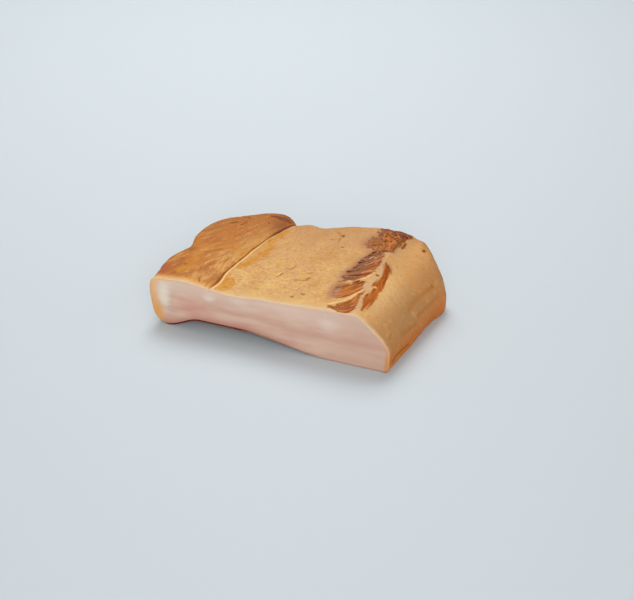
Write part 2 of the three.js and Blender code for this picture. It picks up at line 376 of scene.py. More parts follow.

# %% [markdown]
# ## Stains and marks
# Fat dripped and browned along the string mark, so its right side has orange stains. The skin also has
# dents, cracks, flecks and a few pale scratches. Stains are only colour; a mark is a route with a
# width, a depth and a shade, which goes into the relief and into the colour alike, so that a crack is
# dark where it is deep: painted shade in the cracks, dents and folds, over the dark colour of the
# flecks. A small raised flap has a pale mark as its painted highlight and a dark one as its painted
# shadow.

# %% Stains: (x, y) of the two ends and half the width. Marks: half width, depth, shade, route
STAINS = (
    ((-50.5, 1), (-48.6, 9), 3.2),
    ((-48, 8), (-47.5, 19), 4.3),
    ((-48.2, 41), (-45.5, 48), 3.4),
    ((-45.5, 46), (-43.2, 54), 4.2),
    ((-40.2, 64.5), (-39, 77), 4.0),
    ((-42, 80), (-40.5, 87), 2.2),
    ((-40.5, 91), (-36.4, 102), 2.6),
    ((-57.2, 57.5), (-56, 64), 2.2),
    ((-90, 15), (-86.5, 20.5), 3.6),
)
SKIN_MARKS = (
    (0.8, 0.25, 0.4, (-61, 2.4), (-61.4, 16.8), (-62.5, 34.6), (-64.4, 50.9)),
    (0.8, 0.4, 0.9, (-70.5, 10.3), (-67.8, 6)),
    (1.5, 0.35, 0.65, (-87.9, 50.6), (-83.6, 52.8), (-79.5, 55.3), (-75, 59.5)),
    (1.0, 0.4, 1.0, (-99.2, 34.6), (-97.8, 35.1)),
    (0.9, 0.4, 1.0, (-91.8, 25.9), (-89.9, 25.7)),
    (1.4, 0.6, 1.1, (-88, 100.1), (-85.7, 102.4), (-83.1, 103.8)),
    (1.1, 0.6, 1.0, (-77.6, 99.6), (-76.2, 102.2), (-75.1, 106.1)),
    (1.2, 0.5, 0.8, (-86.8, 115.8), (-82.5, 114.6), (-79.3, 113.8)),
    (1.3, 0.5, 1.0, (-77.5, 114.8), (-76.2, 113.7)),
    (1.3, 0.5, 0.9, (-58.9, 113.9), (-56.5, 111)),
    (0.9, 0.3, 0.6, (-58.4, 105.4), (-55.3, 106.4)),
    (1.6, 0.4, 0.9, (-53.2, 122), (-49, 121.1), (-44.1, 121)),
    (2.0, 0.4, 1.2, (-60.6, 123.4), (-54.3, 124.6), (-48, 125), (-43.6, 122.8), (-41.4, 119.7)),
    (0.8, 0.25, 0.6, (-73.8, 79.8), (-72.5, 85.6), (-71.6, 92.1)),
    (0.7, 0.2, 0.45, (-67.9, 63.6), (-71.9, 72.2), (-74.4, 78.1)),
    (1.0, 0.2, 0.45, (-86.3, 86.2), (-85.6, 91), (-84.2, 95.4)),
    (2.2, 0.2, 0.4, (-67.3, 28.2), (-65, 25.8)),
    (0.8, 0.2, 0.4, (-65.3, 40.1), (-63.5, 45.5), (-62.7, 50.8)),
    (0.8, 0.2, 0.4, (-72.8, 43.9), (-70, 49.1), (-68, 56.4)),
    (0.8, 0.2, 0.4, (-80, 64), (-78, 72), (-77.5, 80)),
    (0.9, 0.2, 0.4, (-95, 60), (-91, 68), (-89, 77)),
    # A small raised flap: the pale mark is its painted highlight, the dark one beside it its painted
    # shadow.
    (0.8, -0.5, -0.8, (-14.4, 38.3), (-13.2, 41.4)),
    (0.8, 0.5, 0.9, (-12.7, 37), (-12, 41)),
    (0.7, 0.3, 0.7, (-14.4, 35.4), (-13, 35.1)),
    (1.0, 0.35, 0.55, (-10.8, 49), (-8.1, 49.2), (-6.8, 54)),
    (1.0, 0.35, 0.55, (2.7, 33.4), (4.6, 34.6), (8.9, 34.9)),
    (1.3, 0.45, 0.75, (10.8, 36.3), (12, 39.7)),
    (1.0, 0.3, 0.5, (8.3, 45.6), (11.4, 46.8)),
    (0.8, 0.3, 0.6, (6.2, 108.7), (11.4, 103.7)),
    (1.3, 0.6, 1.1, (13.5, 103), (14.8, 101.8)),
    (0.9, 0.3, 0.6, (13, 99.4), (13.8, 94.1)),
    (0.9, 0.4, 0.9, (20.1, 85.5), (21.7, 85.1)),
    (1.0, 0.3, 0.6, (6.1, 97.7), (7.3, 97.5)),
    (0.9, 0.3, 0.5, (-7.1, 90.1), (-6.3, 89.9)),
    (0.9, 0.4, 0.9, (9.7, 10.3), (11.5, 9.8)),
    (0.9, 0.4, 0.85, (16.4, 14.6), (19.1, 13.9)),
    (0.9, 0.3, 0.5, (-41.5, 24), (-40.4, 24.3)),
    (0.6, -0.15, -0.5, (3.3, 30.3), (12.4, 23.2)),
    (0.6, -0.12, -0.45, (2.8, 20.1), (9.8, 14.6)),
    (1.0, 0.5, 1.1, (63.4, 53.6), (64.8, 53.4)),
    (0.9, 0.5, 0.9, (56.5, 42), (58.5, 42.4)),
    (0.8, 0.4, 0.8, (71.6, 41), (73.4, 38.9)),
)
LEAN_MARKS = (
    (0.9, 0.3, 0.9, (42.4, 56.1), (46.1, 57.6), (49.6, 59), (53, 61.2), (55.1, 64.7), (55.4, 67.9)),
    (1.1, 0.4, 1.0, (49.3, 69.5), (51.5, 68.3)),
    (1.0, 0.4, 1.0, (46.3, 45.2), (48.6, 44)),
    (0.9, 0.3, 0.8, (38.3, 36.8), (40.3, 37.5), (43.4, 39.9)),
    (0.9, 0.4, 0.9, (39.6, 29.4), (42.6, 32), (46.5, 34.9), (49.8, 36.6), (52.9, 39.7), (56.9, 41.8)),
    (0.7, 0.3, 0.7, (41.9, 49.7), (46.6, 52.6), (50, 54.5), (53.6, 56.1)),
    (1.3, 0.3, 0.8, (49, 79.3), (51.3, 82.4), (53.8, 84.8), (57.5, 88)),
    (0.7, 0.2, 0.5, (50, 42.8), (53, 45.6), (56.6, 48.5), (58.9, 53.3)),
    (0.9, 0.4, 0.9, (44, 3.5), (51.8, 8.6), (55.9, 12.7), (57.5, 18.6), (58.8, 23.7), (61, 28.2),
     (62.3, 31.3)),
    (0.8, 0.4, 0.8, (47, 3.2), (50.5, 2.2), (55.6, 0.9), (60, 0.9)),
    (0.7, 0.2, 0.4, (69.1, 8.9), (68.3, 15.5), (67.9, 23.7), (68.2, 30.3), (69.8, 35.4)),
    (0.7, 0.2, 0.4, (65.5, 41.3), (66.9, 45.6), (68.6, 49.7), (68.6, 57.2), (66.2, 64.5), (64.3, 70)),
    (1.4, 0.3, 0.9, (45, 114.5), (50.5, 116), (56.3, 116.5), (62.4, 116.5)),
    (1.6, 0.15, 0.9, (59, 117.5), (63, 117), (66.6, 115.4), (69, 114)),
    (1.3, 0.3, 0.8, (56.2, 87.6), (60.6, 87.2), (62.5, 92.7), (63.1, 98), (62.8, 103.2), (65.8, 106.1)),
    (0.9, 0.4, 0.8, (44.2, 98.9), (46.8, 95.6), (50, 90.8), (54, 88.2)),
    (0.9, 0.4, 0.8, (38.3, 91.5), (43.4, 89.4), (47.9, 86.3), (52.3, 86)),
    (0.8, 0.3, 0.7, (54.1, 97), (55.1, 100.3), (54.3, 105.8)),
    (0.8, 0.3, 0.9, (62.7, 101.5), (64.5, 105.4), (66.5, 108.9)),
    (0.9, 0.4, 1.0, (66.8, 99.6), (67.4, 102.8), (67.8, 105)),
    (0.8, -0.3, -0.8, (46, 38.6), (48.6, 39.8), (51.7, 42.1), (54.7, 44.9), (57.4, 46.8), (59, 50.7),
     (60.6, 55.2)),
    (0.5, -0.25, -0.6, (50.9, 51.8), (53.4, 54.5), (56.8, 56.6), (59.8, 58.3)),
    (0.6, -0.3, -0.7, (49.9, 72.2), (50.1, 75), (51.8, 76.2), (54.3, 75.3)),
    (0.5, -0.25, -0.6, (53.4, 66.4), (54.2, 69.8), (56.2, 71.2)),
    (0.5, -0.2, -0.5, (45.5, 59.3), (50, 61.5), (53, 65.5)),
    (1.6, -0.2, -0.8, (43, 7.8), (48.5, 12.2), (53, 15.8), (56.4, 21), (58.4, 26.3), (60.6, 30.8)),
    (1.5, -0.4, -0.8, (67.3, 39), (68.5, 38.7)),
    (0.9, -0.2, -0.45, (67.8, 52.8), (67.9, 55.9)),
)
END_MARKS = (
    (1.3, 1.0, 1.3, (81, 112.6, 50.4), (80.8, 113.6, 49.9)),
    (2.0, 0.3, 0.7, (94.4, 98, 28), (94.4, 99, 27.8)),
    (2.4, 0.5, 0.34, (92, 50, 28), (91.2, 60, 29.5), (91.8, 76, 29), (93.6, 94, 27)),
    (2.2, 0.5, 0.36, (97.4, 58, 21), (98.2, 74, 21), (99.6, 90, 20), (100.4, 100, 19)),
    (2.6, 0.6, 0.32, (95.6, 26, 20), (96.8, 40, 19), (98.4, 52, 17.5)),
    (1.3, 0.8, 0.8, (95.7, 9.5, 5.2), (96.1, 17.9, 7.2), (96.7, 27.1, 6.9), (97.5, 38, 6)),
    (1.1, 0.5, 0.5, (92.1, -0.5, 21.9), (92.1, 3, 22.2)),
    (1.0, 0.25, 0.5, (91.6, 13.6, 26.4), (92.5, 9.2, 24.2)),
    (0.8, 0.2, 0.35, (93.5, 35.8, 26.5), (94.9, 28.4, 23.3)),
)


def route_gap(route, point):
    """Distance from a point to a route of straight runs."""
    gap = 1e9
    for a, b in zip(route, route[1:]):
        run = b - a
        share = clamp01((point - a).dot(run) / run.length_squared)
        gap = min(gap, (point - a - run * share).length)
    return gap


def prepare(marks):
    """Adds each mark's middle and reach, so that far points can skip it."""
    ready = []
    for half_width, depth, shade, *places in marks:
        route = [Vector(place) for place in places]
        middle = sum(route, Vector([0] * len(route[0]))) / len(route)
        reach = max((place - middle).length for place in route) + 2.5 * half_width
        ready.append((route, middle, reach, half_width, depth, shade))
    return ready


def marks_at(marks, point):
    """How deep the marks go at a point, in mm, and how dark they are."""
    depth_sum = shade_sum = 0.0
    for route, middle, reach, half_width, depth, shade in marks:
        if (point - middle).length < reach:
            near = hump(route_gap(route, point), half_width)
            depth_sum += depth * near
            shade_sum += shade * near
    return depth_sum, shade_sum


def stain_at(x, y, drop):
    """mm inside the nearest stain."""
    best, here = FAR, Vector((x, y))
    if drop < 6:
        for a, b, half_width in STAINS:
            best = max(best, half_width - route_gap((Vector(a), Vector(b)), here))
    return best


top_marks, end_marks = prepare(SKIN_MARKS + LEAN_MARKS), prepare(END_MARKS)
print("stains:", len(STAINS), "marks:", len(top_marks) + len(end_marks))

# %% [markdown]
# ## The block
#
# The mesh starts as a cube. Cutting the edges along one axis at a time turns it into a grid, and the
# grid is then carried, vertex by vertex, through the functions above. Starting from a cube keeps the
# mesh closed with its faces pointing outwards, whatever the form does.

# %% Cut a cube into a fine grid
COLUMNS, ROWS, LAYERS = 246, 160, 46


def cut_along(mesh, axis, cuts):
    running = [
        edge for edge in mesh.edges
        if abs((edge.verts[1].co - edge.verts[0].co).normalized()[axis]) > 0.9
    ]
    bmesh.ops.subdivide_edges(mesh, edges=running, cuts=cuts, use_grid_fill=True)


block = bmesh.new()
bmesh.ops.create_cube(block, size=2)
for axis, parts in enumerate((COLUMNS, ROWS, LAYERS)):
    cut_along(block, axis, parts - 1)
print("faces in the grid:", len(block.faces))

# %% [markdown]
# ## Crowd the grid where the detail is
#
# The string mark, the lean and the rim of the cut need a finer mesh than the plain fat does. Each axis
# gets its own list of places, closer together where a weight is higher, like the marks on a slide
# rule. That is cheaper than a finer grid everywhere, and it keeps the piece well under the limit.

# %% Places of the grid lines along each axis
def crowded(low, high, parts, weight):
    """parts + 1 places from low to high, closer together where the weight is higher."""
    steps = 4000
    running = [0.0]
    for step in range(steps):
        running.append(running[-1] + weight(mix(low, high, (step + 0.5) / steps)))
    places, step = [], 0
    for part in range(parts + 1):
        goal = running[-1] * part / parts
        while step < steps - 1 and running[step + 1] < goal:
            step += 1
        within = (goal - running[step]) / (running[step + 1] - running[step])
        places.append(mix(low, high, (step + within) / steps))
    return places


PLAIN_LEAN = 88 # where the lean lies in the plain box
x_places = crowded(
    -HALF, HALF, COLUMNS,
    lambda x: 1 + 1.3 * hump(x - PLAIN_CREASE, 6) + 1.1 * hump(x - PLAIN_LEAN, 20),
)
y_places = crowded(0, PLAIN_DEPTH, ROWS, lambda y: 1 + 2 * hump(y, 2))
z_places = crowded(
    0, PLAIN_HEIGHT, LAYERS,
    lambda z: 1 + 1.6 * hump(z, 2.5) + 1.6 * hump(z - PLAIN_HEIGHT, 4.5),
)
print("spacing at the lean, mm:", round(min(b - a for a, b in zip(x_places, x_places[1:])), 2))

# %% [markdown]
# ## Carry the grid onto the slab
#
# Every vertex goes through the rounded box to its real place. While its place in the plain box is
# still known, it also gets notes for the material: how far it is inside the lean or a stain, how far
# from the string mark, how near to the rim of the cut. Painting by such notes needs no image and stays
# sharp at any size.

# %% Place each vertex and note what it is
NOTES = (
    "lean", "fibre", "cool", "bruise", "across", "fan", "spread", "end", "side", "skin", "foot_line", "above",
    "stain", "mark", "blush", "seam",
)
notes = {name: block.verts.layers.float.new(name) for name in NOTES}
BLUSHES = ( # on the cut: x, z, reach along x and along z, and pink (above 0) or white (below 0)
    (-98, 26, 7, 16, -1.0),
    (-74, 20, 14, 9, 0.9),
    (-57, 31, 7, 4, -0.8),
    (-29, 33, 12, 4, -0.6),
    (-38, 13, 20, 4, 0.5),
    (-5, 30, 25, 7, 0.25),
    (43, 30, 12, 6, -0.5),
    (42.5, 41, 1.2, 4, -0.8),
    (72, 31, 9, 6, 0.35),
    (58, 42, 6, 2.5, 0.5),
    (30, 12, 40, 4, 0.15),
)


FAN_X, FAN_Y, FAN_ARC = -28, 170, 110 # where the lobe's streaks fan out from, in mm


def seam_height(x):
    """z of the faint seam between two layers of the fat, on the cut."""
    rise = mix(13.9, 22.8, ease(-97, -55, x)) + 0.8 * hump(x + 22, 10)
    return rise - 2.3 * ease(-14, -2, x) + 0.6 * ease(10, 60, x)


def blush_at(x, z):
    return sum(tint * hump(math.hypot((x - bx) / rx, (z - bz) / rz), 1) for bx, bz, rx, rz, tint in BLUSHES)


def slab_point(x, y, z):
    deep, share = y / PLAIN_DEPTH, z / PLAIN_HEIGHT
    crease = crease_at(y)
    if x < PLAIN_CREASE:
        real_x = mix(left_end(y, share), crease, (x + HALF) / (PLAIN_CREASE + HALF))
    else:
        real_x = mix(crease, right_end(deep, share), (x - PLAIN_CREASE) / (HALF - PLAIN_CREASE))
    real_y = deep * back_face(real_x, share)
    top = top_height(real_x, real_y) + top_relief(real_x, real_y)
    bottom = underside_height(real_x, real_y)
    return Vector((real_x, real_y, mix(bottom, top, share))), top, bottom


def note_vertex(vertex, x, y, z, point, top, bottom):
    """Stores, in mm or as a share, what the material needs to know about this place."""
    drop = top - point.z
    to_left, to_right = x + HALF, HALF - x
    to_top = (PLAIN_HEIGHT - z) / PLAIN_HEIGHT * (top - bottom)
    to_bottom = z / PLAIN_HEIGHT * (top - bottom)
    right_band = mix(4.2, 2.4, ease(8, 24, to_bottom))
    lean, fibre = lean_at(point.x, point.y, drop)
    values = {
        "lean": lean,
        "fibre": fibre,
        "cool": cool_side(point.x, point.y),
        "bruise": bruise_at(point.x, point.y, lean) if drop < 5 else 0.0,
        "across": across_string(point.x, point.y),
        "fan": FAN_ARC * math.atan2(point.x - FAN_X, FAN_Y - point.y),
        "spread": math.hypot(point.x - FAN_X, FAN_Y - point.y),
        "end": ease(-5, 6, to_top - to_right),
        "side": ease(2, 9, drop) * ease(14, 2, min(PLAIN_DEPTH - y, to_left)),
        "skin": max(1 - to_left / 8.5, 1 - to_right / right_band, 1 - to_top / 2.4),
        "foot_line": 1 - to_bottom / 1.5,
        "above": to_bottom,
        "stain": stain_at(point.x, point.y, drop),
        "blush": blush_at(point.x, point.z),
        "seam": point.z - seam_height(point.x),
    }
    for name, value in values.items():
        vertex[notes[name]] = value


def place_of(places, coordinate):
    return places[round((coordinate + 1) / 2 * (len(places) - 1))]


for vertex in block.verts:
    plain = rounded_box(
        place_of(x_places, vertex.co.x),
        place_of(y_places, vertex.co.y),
        place_of(z_places, vertex.co.z),
    )
    point, top, bottom = slab_point(*plain)
    vertex.co = point
    note_vertex(vertex, *plain, point, top, bottom)
print("highest point, mm:", round(max(v.co.z for v in block.verts), 1))

# %% [markdown]
# ## Fine relief
#
# The skin isn't smooth: it has shallow lumps, the lobe is wrinkled towards its tip, and the lean
# has dried and sunk, with fibres standing up in it. These are moved out of the surface along its
# normals, because a real bump gives a real shadow and outline. Grain finer than the mesh is left to
# the material. The underside stays flat, since the slab rests on it.

# %% Relief of each kind of surface
LEAN_SINK, STRAND_HEIGHT, CRUST_HEIGHT = 0.5, 0.34, 0.6
RIM_WIDTH, CUT_SINK = 3.0, 0.4


def bumps(point, size, height, x_shift=0.0):
    return height * noise.noise(point / size + Vector((x_shift, 0, 0)))


def valley(value, half_width):
    """1 where a noise value crosses zero: a thin winding line."""
    return hump(value, half_width)


def lean_relief(point, lean, fibre):
    if lean < -2.5:
        return 0.0
    cover = ease(-0.9, 0.7, lean)
    crust = ease(84, 92, point.y)
    strand = STRAND_HEIGHT * noise.noise(Vector((fibre / 1.15, point.y / 8, point.z / 8)))
    strand -= 0.35 * valley(noise.noise(Vector((fibre / 2.3, point.y / 14, 4))), 0.12)
    rough = CRUST_HEIGHT * noise.noise(point / 2.4) + 0.4 * noise.noise(point / 5.5)
    bank = 0.3 * hump(lean + 1.1, 0.9) * (1 - crust)
    return cover * (mix(strand - LEAN_SINK, rough - 0.1, crust)) + bank


def lobe_relief(point, across, fan, spread):
    if across > -1.5:
        return 0.0
    along = Vector((fan / 3.6, spread / 16, point.z / 20 + 3))
    wrinkle = 0.3 * noise.noise(along) - 0.25 * valley(noise.noise(along * 0.7 + Vector((9, 0, 0))), 0.1)
    swell = 0.35 * noise.noise(Vector((fan / 9, spread / 22, 5)))
    return ease(-1.5, -6, across) * (wrinkle + swell) * ease(3, 12, point.y)


def side_relief(point, side):
    """The back and the left end are more puckered, and the string mark runs down the back."""
    if side < 0.01:
        return 0.0
    fold = noise.noise(Vector((point.x / 9, point.y / 9, point.z / 22)))
    pucker = 0.5 * fold - 0.45 * valley(noise.noise(point / 13 + Vector((3, 1, 0))), 0.07)
    string = 0.0
    if point.y > 90:
        string = -1.6 * hump(point.x + 34.5 + 0.8 * math.sin(point.z * 0.2), 1.4)
        string += 0.6 * hump(point.x + 31.5, 2)
    return side * (pucker + string)


def skin_relief(vertex, depth):
    point = vertex.co
    relief = bumps(point, 21, 0.5) + bumps(point, 6, 0.2, 5) + bumps(point, 2.6, 0.11, 9) - depth
    relief += lean_relief(point, vertex[notes["lean"]], vertex[notes["fibre"]])
    relief += lobe_relief(point, *[vertex[notes[name]] for name in ("across", "fan", "spread")])
    return relief + side_relief(point, vertex[notes["side"]])


def cut_relief(vertex):
    """The cut sinks a little inside its rim of skin, and the knife left faint ripples."""
    point = vertex.co
    to_rim = min(vertex[notes["above"]] * 2, (1 - vertex[notes["skin"]]) * 3.6)
    ripple = 0.2 * noise.noise(Vector((point.x / 30, 7, point.z / 8)))
    dent = 0.5 * hump(math.hypot((point.x - 42.5) / 1.2, (point.z - 40.5) / 3.5), 1)
    return ease(0.8, RIM_WIDTH, to_rim) * (CUT_SINK + ripple) + dent


print("lean sinks by", LEAN_SINK, "mm, the cut by", CUT_SINK, "mm")

# %% Move the surface in and out
block.normal_update()
moves = []
for vertex in block.verts:
    point, normal = vertex.co, vertex.normal
    if point.y < 0.01:
        moves.append(Vector((0, cut_relief(vertex), 0)))
        continue
    top_drop = top_height(point.x, point.y) + top_relief(point.x, point.y) - point.z
    depth = shade = 0.0
    if top_drop < 3:
        depth, shade = marks_at(top_marks, point.xy)
    if point.x > 60:
        end_depth, end_shade = marks_at(end_marks, point)
        depth, shade = depth + end_depth, shade + end_shade
    vertex[notes["mark"]] = shade
    free = ease(0.5, 4, point.z) * ease(-1, 2.5, point.y)
    moves.append(normal * skin_relief(vertex, depth) * free)
CEILING, SOFT = slab_high.z / MM, 0.9
for vertex, move in zip(block.verts, moves):
    vertex.co += move
    above_soft = vertex.co.z - CEILING + SOFT
    if above_soft > 0:
        vertex.co.z = CEILING - SOFT * math.exp(-above_soft / SOFT)
print("largest move, mm:", round(max(move.length for move in moves), 2))

# %% [markdown]
# ## Place the block
#
# The mesh is in millimetres round its own working origin. Its box is laid on the box of the plain
# solid, and it becomes one object at the origin, which stands for that solid from now on. The flat
# underside needs no grid, so its level faces are dissolved into a few large ones.

# %% Make the slab object
UNDERSIDE_ANGLE = math.radians(0.4)
FACES_DOWN, BELOW = -0.9, ARCH_HEIGHT + 1 # a normal's z, and a height in mm


def in_underside(face):
    return face.normal.z < FACES_DOWN and max(v.co.z for v in face.verts) < BELOW


inner_edges = [
    edge for edge in block.edges
    if len(edge.link_faces) == 2 and all(in_underside(face) for face in edge.link_faces)
]
inner_verts = [
    vertex for vertex in block.verts
    if vertex.co.z < BELOW and all(face.normal.z < FACES_DOWN for face in vertex.link_faces)
]
print("underside faces before:", sum(in_underside(face) for face in block.faces))
bmesh.ops.dissolve_limit(
    block, angle_limit=UNDERSIDE_ANGLE, use_dissolve_boundaries=False, verts=inner_verts,
    edges=inner_edges, delimit=set(),
)
print("underside faces after:", sum(face.normal.z < FACES_DOWN for face in block.faces))

xs = [v.co.x for v in block.verts]
shift_x = (slab_low.x + slab_high.x) / 2 / MM - (min(xs) + max(xs)) / 2
shift_y = slab_low.y / MM
for vertex in block.verts:
    vertex.co = (vertex.co + Vector((shift_x, shift_y, 0))) * MM
bmesh.ops.recalc_face_normals(block, faces=block.faces)
for face in block.faces:
    face.smooth = True

slab = bpy.data.objects.new("smoked_slab", bpy.data.meshes.new("smoked_slab"))
block.to_mesh(slab.data)
block.free()
bpy.context.collection.objects.link(slab)
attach(slab, "root")
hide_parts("slab")
triangles = sum(len(p.vertices) - 2 for p in slab.data.polygons)
print("shift, mm:", round(shift_x, 2), round(shift_y, 2), "triangles:", triangles)

# %% [markdown]
# ## Helpers for the material
#
# The material is a tree of nodes. A few short functions keep it readable: one for each kind of node
# that is used often. Colours are written as they look on a screen, from 0 to 255, and are turned into
# the linear values that a shader works with. Noise is measured in millimetres.

# %% Node helpers
fat = bpy.data.materials.new("smoked fat")
fat.use_nodes = True
tree = fat.node_tree
tree.nodes.clear()


def linear(*screen):
    """A screen colour from 0 to 255 as linear light."""
    steps = [c / 255 for c in screen]
    return [c / 12.92 if c <= 0.04045 else ((c + 0.055) / 1.055) ** 2.4 for c in steps] + [1]


def feed(socket, value):
    if isinstance(value, bpy.types.NodeSocket):
        tree.links.new(value, socket)
    else:
        socket.default_value = value


def note(name):
    node = tree.nodes.new("ShaderNodeAttribute")
    node.attribute_name = name
    return node.outputs["Fac"]


def maths(operation, a, b=0.0):
    node = tree.nodes.new("ShaderNodeMath")
    node.operation = operation
    feed(node.inputs[0], a)
    feed(node.inputs[1], b)
    return node.outputs[0]


def times(a, b):
    return maths("MULTIPLY", a, b)


def plus(a, b):
    return maths("ADD", a, b)


def centred(noise_value):
    """Noise from 0 to 1 as a value round 0."""
    return maths("SUBTRACT", noise_value, 0.5)


def rest_of(share):
    return maths("SUBTRACT", 1.0, share)


def soft_step(value, start, end, most=1.0):
    """0 before start, most after end, smooth between them. start may be above end."""
    node = tree.nodes.new("ShaderNodeMapRange")
    node.interpolation_type = "SMOOTHSTEP"
    if start < end:
        numbers = start, end, 0.0, most
    else:
        numbers = end, start, most, 0.0
    feed(node.inputs["Value"], value)
    for name, number in zip(("From Min", "From Max", "To Min", "To Max"), numbers):
        node.inputs[name].default_value = number
    return node.outputs[0]


def speckle(vector, size, detail=2.0, roughness=0.5):
    """Noise from 0 to 1 with features of about size, in the units of the vector."""
    node = tree.nodes.new("ShaderNodeTexNoise")
    feed(node.inputs["Vector"], vector)
    node.inputs["Scale"].default_value = 1 / size
    node.inputs["Detail"].default_value = detail
    node.inputs["Roughness"].default_value = roughness
    return node.outputs["Fac"]


def blend(share, a, b):
    """Colour a where share is 0, colour b where it is 1."""
    node = tree.nodes.new("ShaderNodeMix")
    node.data_type = "RGBA"
    feed(node.inputs[0], share)
    feed(node.inputs[6], a)
    feed(node.inputs[7], b)
    return node.outputs[2]


def coated(colour, *coats):
    """The colour with coats laid over it in turn, each a share and a screen colour."""
    for share, coat in coats:
        colour = blend(share, colour, linear(*coat))
    return colour


def vector_of(x, y, z):
    node = tree.nodes.new("ShaderNodeCombineXYZ")
    for socket, value in zip(node.inputs, (x, y, z)):
        feed(socket, value)
    return node.outputs[0]


in_metres = tree.nodes.new("ShaderNodeTexCoord").outputs["Object"]
scaled = tree.nodes.new("ShaderNodeVectorMath")
scaled.operation = "SCALE"
tree.links.new(in_metres, scaled.inputs[0])
scaled.inputs["Scale"].default_value = 1 / MM
place = scaled.outputs[0]
split = tree.nodes.new("ShaderNodeSeparateXYZ")
tree.links.new(place, split.inputs[0])
along_x, row_y, up_z = split.outputs
behind_cut = maths("SUBTRACT", row_y, shift_y)
from_left = maths("SUBTRACT", along_x, shift_x)
print("nodes so far:", len(tree.nodes))

# %% [markdown]
# ## Colours of the smoked skin
#
# Smoke colours fat unevenly. The top is tan with pinkish and yellowish clouds, the lobe is a deeper
# orange brown with streaks that run to its tip, and the right end turns orange at its foot, partly its
# own colour at the rind's edge and partly a painted warm reflection. The right end also carries painted
# light and shade: lighter at the top, darker downwards and towards the back. Each area is mixed on its
# own first; then the areas are laid over each other with soft edges.

# %% Skin of the top
clouds = speckle(place, 19, 3, 0.55)
tints = speckle(place, 7, 3, 0.6)
mottle = speckle(place, 2.6, 4, 0.65)
grain = speckle(place, 0.9, 3, 0.6)

flecks = plus(times(grain, 0.6), times(tints, 0.4))
top_tan = coated(
    blend(soft_step(tints, 0.36, 0.64), linear(202, 162, 96), linear(200, 154, 106)),
    (soft_step(clouds, 0.5, 0.68, 0.6), (192, 136, 70)),
    (soft_step(clouds, 0.46, 0.32, 0.7), (212, 174, 108)),
    (soft_step(mottle, 0.5, 0.72, 0.7), (168, 114, 62)),
    (soft_step(mottle, 0.45, 0.3, 0.6), (228, 186, 124)),
    (soft_step(flecks, 0.59, 0.68, 0.45), (150, 96, 50)),
    (soft_step(behind_cut, 30, 125, 0.6), (180, 131, 88)),
    (times(soft_step(behind_cut, 60, 100), soft_step(grain, 0.52, 0.64, 0.5)), (160, 108, 66)),
    # Lighter along the front edge: partly yellower fat, partly a painted highlight.
    (soft_step(behind_cut, 16, 2, 0.55), (210, 174, 114)),
)

# %% Skin of the lobe
lobe_vector = vector_of(note("fan"), times(note("spread"), 0.2), times(up_z, 0.3))
wide_streaks = speckle(lobe_vector, 5.5, 2, 0.5)
lobe_streaks = speckle(lobe_vector, 2.1, 4, 0.62)
beside_string = plus(from_left, times(behind_cut, 0.21))
folds = speckle(vector_of(beside_string, times(behind_cut, 0.16), times(up_z, 0.3)), 1.7, 3, 0.6)
fold_share = times(soft_step(note("across"), -30, -12), soft_step(behind_cut, 70, 48))
rear_share = soft_step(behind_cut, 55, 95)
tip_share = times(soft_step(behind_cut, 94, 116, 0.7), soft_step(from_left, -64, -46))
corner_share = times(soft_step(from_left, -92, -104, 0.75), soft_step(behind_cut, 36, 12))

lobe_brown = coated(
    blend(soft_step(note("across"), -3, -32), linear(196, 146, 80), linear(174, 112, 48)),
    (soft_step(wide_streaks, 0.5, 0.66, 0.7), (164, 94, 36)),
    (soft_step(wide_streaks, 0.46, 0.34, 0.55), (208, 154, 80)),
    (soft_step(lobe_streaks, 0.52, 0.7, 0.65), (140, 76, 30)),
    (soft_step(lobe_streaks, 0.46, 0.32, 0.6), (222, 168, 100)),
    (soft_step(clouds, 0.5, 0.68, 0.6), (190, 116, 38)),
    (soft_step(tints, 0.56, 0.72, 0.4), (170, 96, 56)),
    (times(fold_share, soft_step(folds, 0.5, 0.64, 0.45)), (148, 84, 36)),
    (times(fold_share, soft_step(folds, 0.46, 0.34, 0.4)), (212, 162, 98)),
    (soft_step(behind_cut, 46, 120, 0.6), (158, 92, 34)),
    (times(rear_share, soft_step(grain, 0.52, 0.62, 0.55)), (122, 62, 24)),
    (times(rear_share, soft_step(grain, 0.46, 0.36, 0.5)), (206, 146, 78)),
    (tip_share, (122, 60, 18)),
    (corner_share, (166, 82, 50)),
    # Lighter along the front edge of the lobe: partly yellower fat, partly a painted highlight.
    (soft_step(behind_cut, 9, 2, 0.8), (216, 164, 92)),
)
print("nodes so far:", len(tree.nodes))

# %% Skin of the right end, the left end and the back
# The right end, with painted light and shade: lighter at the top, darker downwards and towards the back.
# Its orange foot is partly the rind's edge and partly a painted warm reflection.
end_tan_with_painted_shade = coated(
    blend(soft_step(up_z, 54, 30), linear(238, 196, 138), linear(178, 131, 83)),
    (soft_step(behind_cut, 40, 120, 0.6), (190, 130, 74)),
    (soft_step(up_z, 26, 2), (208, 108, 4)),
    (soft_step(mottle, 0.5, 0.7, 0.4), (168, 112, 62)),
    (soft_step(grain, 0.5, 0.66, 0.2), (160, 106, 60)),
    (soft_step(grain, 0.48, 0.34, 0.2), (226, 180, 122)),
    (soft_step(tints, 0.46, 0.32, 0.35), (216, 168, 104)),
    (soft_step(clouds, 0.52, 0.68, 0.4), (204, 142, 72)),
)

side_brown = coated(
    blend(soft_step(clouds, 0.38, 0.64), linear(172, 104, 42), linear(192, 132, 66)),
    (soft_step(tints, 0.5, 0.68, 0.7), (142, 78, 30)),
    (soft_step(mottle, 0.5, 0.72, 0.6), (130, 70, 26)),
)

